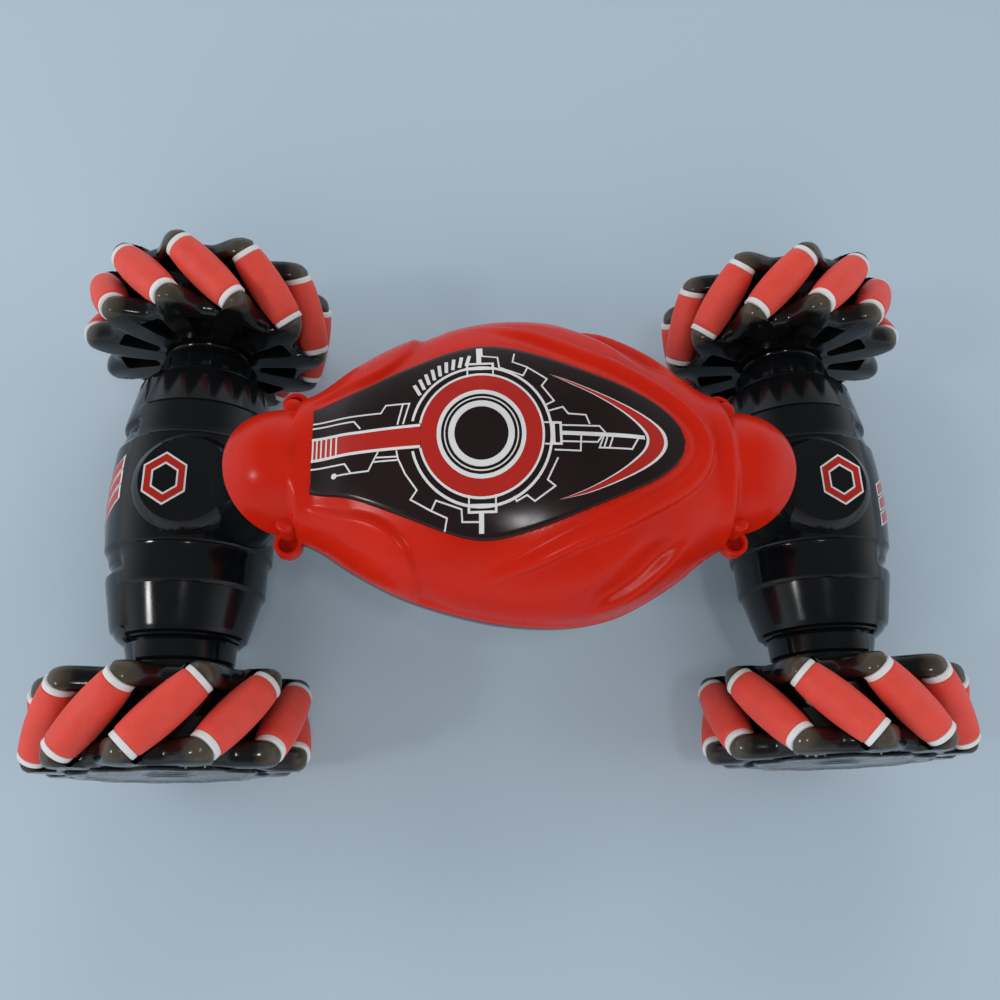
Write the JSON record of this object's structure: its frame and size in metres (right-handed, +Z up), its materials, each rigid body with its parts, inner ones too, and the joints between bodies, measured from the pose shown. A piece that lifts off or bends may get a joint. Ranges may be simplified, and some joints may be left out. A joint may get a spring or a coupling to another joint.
{
  "type": "rc stunt car",
  "caption": "Remote-control stunt car: arched body between two ball ends, with twisting axle units and mecanum wheels of slanted rubber rollers.",
  "frame": {"origin": "on the ground under the middle of the car, midway between the axles and the wheels", "axes": "+X to the front, the pointed end of the top panel; +Y to the car's left; +Z up"},
  "size_m": [0.3209, 0.1884, 0.1169],
  "materials": {
    "red_shell": "satin-gloss moulded red plastic",
    "black_shell": "gloss black plastic",
    "panel": "high-gloss printed black plastic",
    "black_housing": "gloss black plastic",
    "smoke_hub": "smoked translucent plastic",
    "roller_rubber": "matte red rubber with white plastic end bushes",
    "switch": "matte",
    "battery": "shrink wrap",
    "circuit_board": "solder mask",
    "drive_metal": "bare motor cans and gearbox",
    "bush_white": "white moulded plastic, shows as a ring at both ends of each roller",
    "print_white": "white print on the panel, the axle caps and the side bars",
    "print_red": "red print on the panel, the axle caps and the side bars"
  },
  "bodies": {
    "root": {"upper_shell": "red_shell", "lower_shell": "black_shell", "top_panel": "panel", "battery_cover": "black_shell", "battery_pack": "battery", "circuit_board": "circuit_board", "twist_drive_unit": "drive_metal"},
    "power_switch": {"power_switch": "switch"},
    "rear_axle_unit": {"rear_axle_housing": "black_housing", "rear_drive_unit": "drive_metal"},
    "front_axle_unit": {"front_axle_housing": "black_housing", "front_drive_unit": "drive_metal"},
    "rear_right_wheel": {"rear_right_wheel_hub": "smoke_hub"},
    "rear_right_roller_01": {"rear_right_roller_01": "roller_rubber"},
    "rear_right_roller_02": {"rear_right_roller_02": "roller_rubber"},
    "rear_right_roller_03": {"rear_right_roller_03": "roller_rubber"},
    "rear_right_roller_04": {"rear_right_roller_04": "roller_rubber"},
    "rear_right_roller_05": {"rear_right_roller_05": "roller_rubber"},
    "rear_right_roller_06": {"rear_right_roller_06": "roller_rubber"},
    "rear_right_roller_07": {"rear_right_roller_07": "roller_rubber"},
    "rear_right_roller_08": {"rear_right_roller_08": "roller_rubber"},
    "rear_right_roller_09": {"rear_right_roller_09": "roller_rubber"},
    "rear_right_roller_10": {"rear_right_roller_10": "roller_rubber"},
    "rear_right_roller_11": {"rear_right_roller_11": "roller_rubber"},
    "rear_left_wheel": {"rear_left_wheel_hub": "smoke_hub"},
    "rear_left_roller_01": {"rear_left_roller_01": "roller_rubber"},
    "rear_left_roller_02": {"rear_left_roller_02": "roller_rubber"},
    "rear_left_roller_03": {"rear_left_roller_03": "roller_rubber"},
    "rear_left_roller_04": {"rear_left_roller_04": "roller_rubber"},
    "rear_left_roller_05": {"rear_left_roller_05": "roller_rubber"},
    "rear_left_roller_06": {"rear_left_roller_06": "roller_rubber"},
    "rear_left_roller_07": {"rear_left_roller_07": "roller_rubber"},
    "rear_left_roller_08": {"rear_left_roller_08": "roller_rubber"},
    "rear_left_roller_09": {"rear_left_roller_09": "roller_rubber"},
    "rear_left_roller_10": {"rear_left_roller_10": "roller_rubber"},
    "rear_left_roller_11": {"rear_left_roller_11": "roller_rubber"},
    "front_right_wheel": {"front_right_wheel_hub": "smoke_hub"},
    "front_right_roller_01": {"front_right_roller_01": "roller_rubber"},
    "front_right_roller_02": {"front_right_roller_02": "roller_rubber"},
    "front_right_roller_03": {"front_right_roller_03": "roller_rubber"},
    "front_right_roller_04": {"front_right_roller_04": "roller_rubber"},
    "front_right_roller_05": {"front_right_roller_05": "roller_rubber"},
    "front_right_roller_06": {"front_right_roller_06": "roller_rubber"},
    "front_right_roller_07": {"front_right_roller_07": "roller_rubber"},
    "front_right_roller_08": {"front_right_roller_08": "roller_rubber"},
    "front_right_roller_09": {"front_right_roller_09": "roller_rubber"},
    "front_right_roller_10": {"front_right_roller_10": "roller_rubber"},
    "front_right_roller_11": {"front_right_roller_11": "roller_rubber"},
    "front_left_wheel": {"front_left_wheel_hub": "smoke_hub"},
    "front_left_roller_01": {"front_left_roller_01": "roller_rubber"},
    "front_left_roller_02": {"front_left_roller_02": "roller_rubber"},
    "front_left_roller_03": {"front_left_roller_03": "roller_rubber"},
    "front_left_roller_04": {"front_left_roller_04": "roller_rubber"},
    "front_left_roller_05": {"front_left_roller_05": "roller_rubber"},
    "front_left_roller_06": {"front_left_roller_06": "roller_rubber"},
    "front_left_roller_07": {"front_left_roller_07": "roller_rubber"},
    "front_left_roller_08": {"front_left_roller_08": "roller_rubber"},
    "front_left_roller_09": {"front_left_roller_09": "roller_rubber"},
    "front_left_roller_10": {"front_left_roller_10": "roller_rubber"},
    "front_left_roller_11": {"front_left_roller_11": "roller_rubber"}
  },
  "joints": [
    {"name": "rear_twist", "type": "hinge", "parent": "root", "child": "rear_axle_unit", "pos_m": [-0.0766, 0, 0.082], "axis": [0.6018, 0, 0.7986], "range_deg": [0, 180]},
    {"name": "front_twist", "type": "hinge", "parent": "root", "child": "front_axle_unit", "pos_m": [0.0766, 0, 0.082], "axis": [0.6018, 0, -0.7986], "range_deg": [0, 180]},
    {"name": "power_switch_slide", "type": "slide", "parent": "root", "child": "power_switch", "axis": [1, 0, 0], "range_m": [0, 0.003]},
    {"name": "rear_right_wheel_spin", "type": "hinge", "parent": "rear_axle_unit", "child": "rear_right_wheel", "pos_m": [-0.1144, -0.0775, 0.046], "axis": [0, 1, 0], "continuous": true},
    {"name": "rear_left_wheel_spin", "type": "hinge", "parent": "rear_axle_unit", "child": "rear_left_wheel", "pos_m": [-0.1144, 0.0775, 0.046], "axis": [0, 1, 0], "continuous": true},
    {"name": "front_right_wheel_spin", "type": "hinge", "parent": "front_axle_unit", "child": "front_right_wheel", "pos_m": [0.1144, -0.0775, 0.046], "axis": [0, 1, 0], "continuous": true},
    {"name": "front_left_wheel_spin", "type": "hinge", "parent": "front_axle_unit", "child": "front_left_wheel", "pos_m": [0.1144, 0.0775, 0.046], "axis": [0, 1, 0], "continuous": true},
    {"name": "rear_right_roller_01_spin", "type": "hinge", "parent": "rear_right_wheel", "child": "rear_right_roller_01", "pos_m": [-0.10754, -0.0775, 0.0849], "axis": [0.6964, 0.7071, -0.1228], "continuous": true},
    {"name": "rear_right_roller_02_spin", "type": "hinge", "parent": "rear_right_wheel", "child": "rear_right_roller_02", "pos_m": [-0.0876, -0.0775, 0.07502], "axis": [0.5194, 0.7071, -0.4798], "continuous": true},
    {"name": "rear_right_roller_03_spin", "type": "hinge", "parent": "rear_right_wheel", "child": "rear_right_roller_03", "pos_m": [-0.07617, -0.0775, 0.05592], "axis": [0.1776, 0.7071, -0.6844], "continuous": true},
    {"name": "rear_right_roller_04_spin", "type": "hinge", "parent": "rear_right_wheel", "child": "rear_right_roller_04", "pos_m": [-0.07687, -0.0775, 0.03367], "axis": [-0.2206, 0.7071, -0.6718], "continuous": true},
    {"name": "rear_right_roller_05_spin", "type": "hinge", "parent": "rear_right_wheel", "child": "rear_right_roller_05", "pos_m": [-0.08949, -0.0775, 0.01534], "axis": [-0.5488, 0.7071, -0.4459], "continuous": true},
    {"name": "rear_right_roller_06_spin", "type": "hinge", "parent": "rear_right_wheel", "child": "rear_right_roller_06", "pos_m": [-0.11002, -0.0775, 0.00674], "axis": [-0.7027, 0.7071, -0.0784], "continuous": true},
    {"name": "rear_right_roller_07_spin", "type": "hinge", "parent": "rear_right_wheel", "child": "rear_right_roller_07", "pos_m": [-0.13194, -0.0775, 0.01061], "axis": [-0.6336, 0.7071, 0.314], "continuous": true},
    {"name": "rear_right_roller_08_spin", "type": "hinge", "parent": "rear_right_wheel", "child": "rear_right_roller_08", "pos_m": [-0.14829, -0.0775, 0.02571], "axis": [-0.3632, 0.7071, 0.6067], "continuous": true},
    {"name": "rear_right_roller_09_spin", "type": "hinge", "parent": "rear_right_wheel", "child": "rear_right_roller_09", "pos_m": [-0.15388, -0.0775, 0.04725], "axis": [0.0224, 0.7071, 0.7068], "continuous": true},
    {"name": "rear_right_roller_10_spin", "type": "hinge", "parent": "rear_right_wheel", "child": "rear_right_roller_10", "pos_m": [-0.14694, -0.0775, 0.0684], "axis": [0.401, 0.7071, 0.5824], "continuous": true},
    {"name": "rear_right_roller_11_spin", "type": "hinge", "parent": "rear_right_wheel", "child": "rear_right_roller_11", "pos_m": [-0.12966, -0.0775, 0.08243], "axis": [0.6522, 0.7071, 0.2732], "continuous": true},
    {"name": "rear_left_roller_01_spin", "type": "hinge", "parent": "rear_left_wheel", "child": "rear_left_roller_01", "pos_m": [-0.10822, 0.0775, 0.08501], "axis": [-0.6984, 0.7071, 0.1106], "continuous": true},
    {"name": "rear_left_roller_02_spin", "type": "hinge", "parent": "rear_left_wheel", "child": "rear_left_roller_02", "pos_m": [-0.08811, 0.0775, 0.07548], "axis": [-0.5277, 0.7071, 0.4706], "continuous": true},
    {"name": "rear_left_roller_03_spin", "type": "hinge", "parent": "rear_left_wheel", "child": "rear_left_roller_03", "pos_m": [-0.07634, 0.0775, 0.05659], "axis": [-0.1895, 0.7071, 0.6812], "continuous": true},
    {"name": "rear_left_roller_04_spin", "type": "hinge", "parent": "rear_left_wheel", "child": "rear_left_roller_04", "pos_m": [-0.07666, 0.0775, 0.03433], "axis": [0.2089, 0.7071, 0.6755], "continuous": true},
    {"name": "rear_left_roller_05_spin", "type": "hinge", "parent": "rear_left_wheel", "child": "rear_left_roller_05", "pos_m": [-0.08896, 0.0775, 0.01578], "axis": [0.541, 0.7071, 0.4554], "continuous": true},
    {"name": "rear_left_roller_06_spin", "type": "hinge", "parent": "rear_left_wheel", "child": "rear_left_roller_06", "pos_m": [-0.10934, 0.0775, 0.00683], "axis": [0.7013, 0.7071, 0.0906], "continuous": true},
    {"name": "rear_left_roller_07_spin", "type": "hinge", "parent": "rear_left_wheel", "child": "rear_left_roller_07", "pos_m": [-0.13132, 0.0775, 0.01031], "axis": [0.6389, 0.7071, -0.3029], "continuous": true},
    {"name": "rear_left_roller_08_spin", "type": "hinge", "parent": "rear_left_wheel", "child": "rear_left_roller_08", "pos_m": [-0.14793, 0.0775, 0.02512], "axis": [0.3738, 0.7071, -0.6003], "continuous": true},
    {"name": "rear_left_roller_09_spin", "type": "hinge", "parent": "rear_left_wheel", "child": "rear_left_roller_09", "pos_m": [-0.1539, 0.0775, 0.04656], "axis": [-0.0101, 0.7071, -0.707], "continuous": true},
    {"name": "rear_left_roller_10_spin", "type": "hinge", "parent": "rear_left_wheel", "child": "rear_left_roller_10", "pos_m": [-0.14732, 0.0775, 0.06783], "axis": [-0.3907, 0.7071, -0.5893], "continuous": true},
    {"name": "rear_left_roller_11_spin", "type": "hinge", "parent": "rear_left_wheel", "child": "rear_left_roller_11", "pos_m": [-0.13029, 0.0775, 0.08216], "axis": [-0.6473, 0.7071, -0.2845], "continuous": true},
    {"name": "front_right_roller_01_spin", "type": "hinge", "parent": "front_right_wheel", "child": "front_right_roller_01", "pos_m": [0.12376, -0.0775, 0.08438], "axis": [-0.687, 0.7071, 0.1675], "continuous": true},
    {"name": "front_right_roller_02_spin", "type": "hinge", "parent": "front_right_wheel", "child": "front_right_roller_02", "pos_m": [0.14302, -0.0775, 0.07323], "axis": [-0.4874, 0.7071, 0.5123], "continuous": true},
    {"name": "front_right_roller_03_spin", "type": "hinge", "parent": "front_right_wheel", "child": "front_right_roller_03", "pos_m": [0.15319, -0.0775, 0.05343], "axis": [-0.133, 0.7071, 0.6945], "continuous": true},
    {"name": "front_right_roller_04_spin", "type": "hinge", "parent": "front_right_wheel", "child": "front_right_roller_04", "pos_m": [0.15105, -0.0775, 0.03128], "axis": [0.2635, 0.7071, 0.6562], "continuous": true},
    {"name": "front_right_roller_05_spin", "type": "hinge", "parent": "front_right_wheel", "child": "front_right_roller_05", "pos_m": [0.13728, -0.0775, 0.0138], "axis": [0.5764, 0.7071, 0.4095], "continuous": true},
    {"name": "front_right_roller_06_spin", "type": "hinge", "parent": "front_right_wheel", "child": "front_right_roller_06", "pos_m": [0.11624, -0.0775, 0.00654], "axis": [0.7063, 0.7071, 0.0329], "continuous": true},
    {"name": "front_right_roller_07_spin", "type": "hinge", "parent": "front_right_wheel", "child": "front_right_roller_07", "pos_m": [0.09461, -0.0775, 0.01181], "axis": [0.612, 0.7071, -0.3542], "continuous": true},
    {"name": "front_right_roller_08_spin", "type": "hinge", "parent": "front_right_wheel", "child": "front_right_roller_08", "pos_m": [0.07927, -0.0775, 0.02794], "axis": [0.3233, 0.7071, -0.6289], "continuous": true},
    {"name": "front_right_roller_09_spin", "type": "hinge", "parent": "front_right_wheel", "child": "front_right_roller_09", "pos_m": [0.07508, -0.0775, 0.0498], "axis": [-0.068, 0.7071, -0.7038], "continuous": true},
    {"name": "front_right_roller_10_spin", "type": "hinge", "parent": "front_right_wheel", "child": "front_right_roller_10", "pos_m": [0.08338, -0.0775, 0.07045], "axis": [-0.4377, 0.7071, -0.5553], "continuous": true},
    {"name": "front_right_roller_11_spin", "type": "hinge", "parent": "front_right_wheel", "child": "front_right_roller_11", "pos_m": [0.10152, -0.0775, 0.08334], "axis": [-0.6685, 0.7071, -0.2305], "continuous": true},
    {"name": "front_left_roller_01_spin", "type": "hinge", "parent": "front_left_wheel", "child": "front_left_roller_01", "pos_m": [0.12549, 0.0775, 0.08391], "axis": [0.6787, 0.7071, -0.1985], "continuous": true},
    {"name": "front_left_roller_02_spin", "type": "hinge", "parent": "front_left_wheel", "child": "front_left_roller_02", "pos_m": [0.14422, 0.0775, 0.0719], "axis": [0.4636, 0.7071, -0.5339], "continuous": true},
    {"name": "front_left_roller_03_spin", "type": "hinge", "parent": "front_left_wheel", "child": "front_left_roller_03", "pos_m": [0.15349, 0.0775, 0.05167], "axis": [0.1014, 0.7071, -0.6998], "continuous": true},
    {"name": "front_left_roller_04_spin", "type": "hinge", "parent": "front_left_wheel", "child": "front_left_roller_04", "pos_m": [0.15035, 0.0775, 0.02963], "axis": [-0.293, 0.7071, -0.6435], "continuous": true},
    {"name": "front_left_roller_05_spin", "type": "hinge", "parent": "front_left_wheel", "child": "front_left_roller_05", "pos_m": [0.13579, 0.0775, 0.01279], "axis": [-0.5944, 0.7071, -0.383], "continuous": true},
    {"name": "front_left_roller_06_spin", "type": "hinge", "parent": "front_left_wheel", "child": "front_left_roller_06", "pos_m": [0.11444, 0.0775, 0.0065], "axis": [-0.7071, 0.7071, -0.0008], "continuous": true},
    {"name": "front_left_roller_07_spin", "type": "hinge", "parent": "front_left_wheel", "child": "front_left_roller_07", "pos_m": [0.09308, 0.0775, 0.01275], "axis": [-0.5953, 0.7071, 0.3816], "continuous": true},
    {"name": "front_left_roller_08_spin", "type": "hinge", "parent": "front_left_wheel", "child": "front_left_roller_08", "pos_m": [0.07849, 0.0775, 0.02955], "axis": [-0.2945, 0.7071, 0.6429], "continuous": true},
    {"name": "front_left_roller_09_spin", "type": "hinge", "parent": "front_left_wheel", "child": "front_left_roller_09", "pos_m": [0.0753, 0.0775, 0.05158], "axis": [0.0999, 0.7071, 0.7], "continuous": true},
    {"name": "front_left_roller_10_spin", "type": "hinge", "parent": "front_left_wheel", "child": "front_left_roller_10", "pos_m": [0.08452, 0.0775, 0.07183], "axis": [0.4625, 0.7071, 0.5349], "continuous": true},
    {"name": "front_left_roller_11_spin", "type": "hinge", "parent": "front_left_wheel", "child": "front_left_roller_11", "pos_m": [0.10323, 0.0775, 0.08389], "axis": [0.6782, 0.7071, 0.2], "continuous": true}
  ]
}
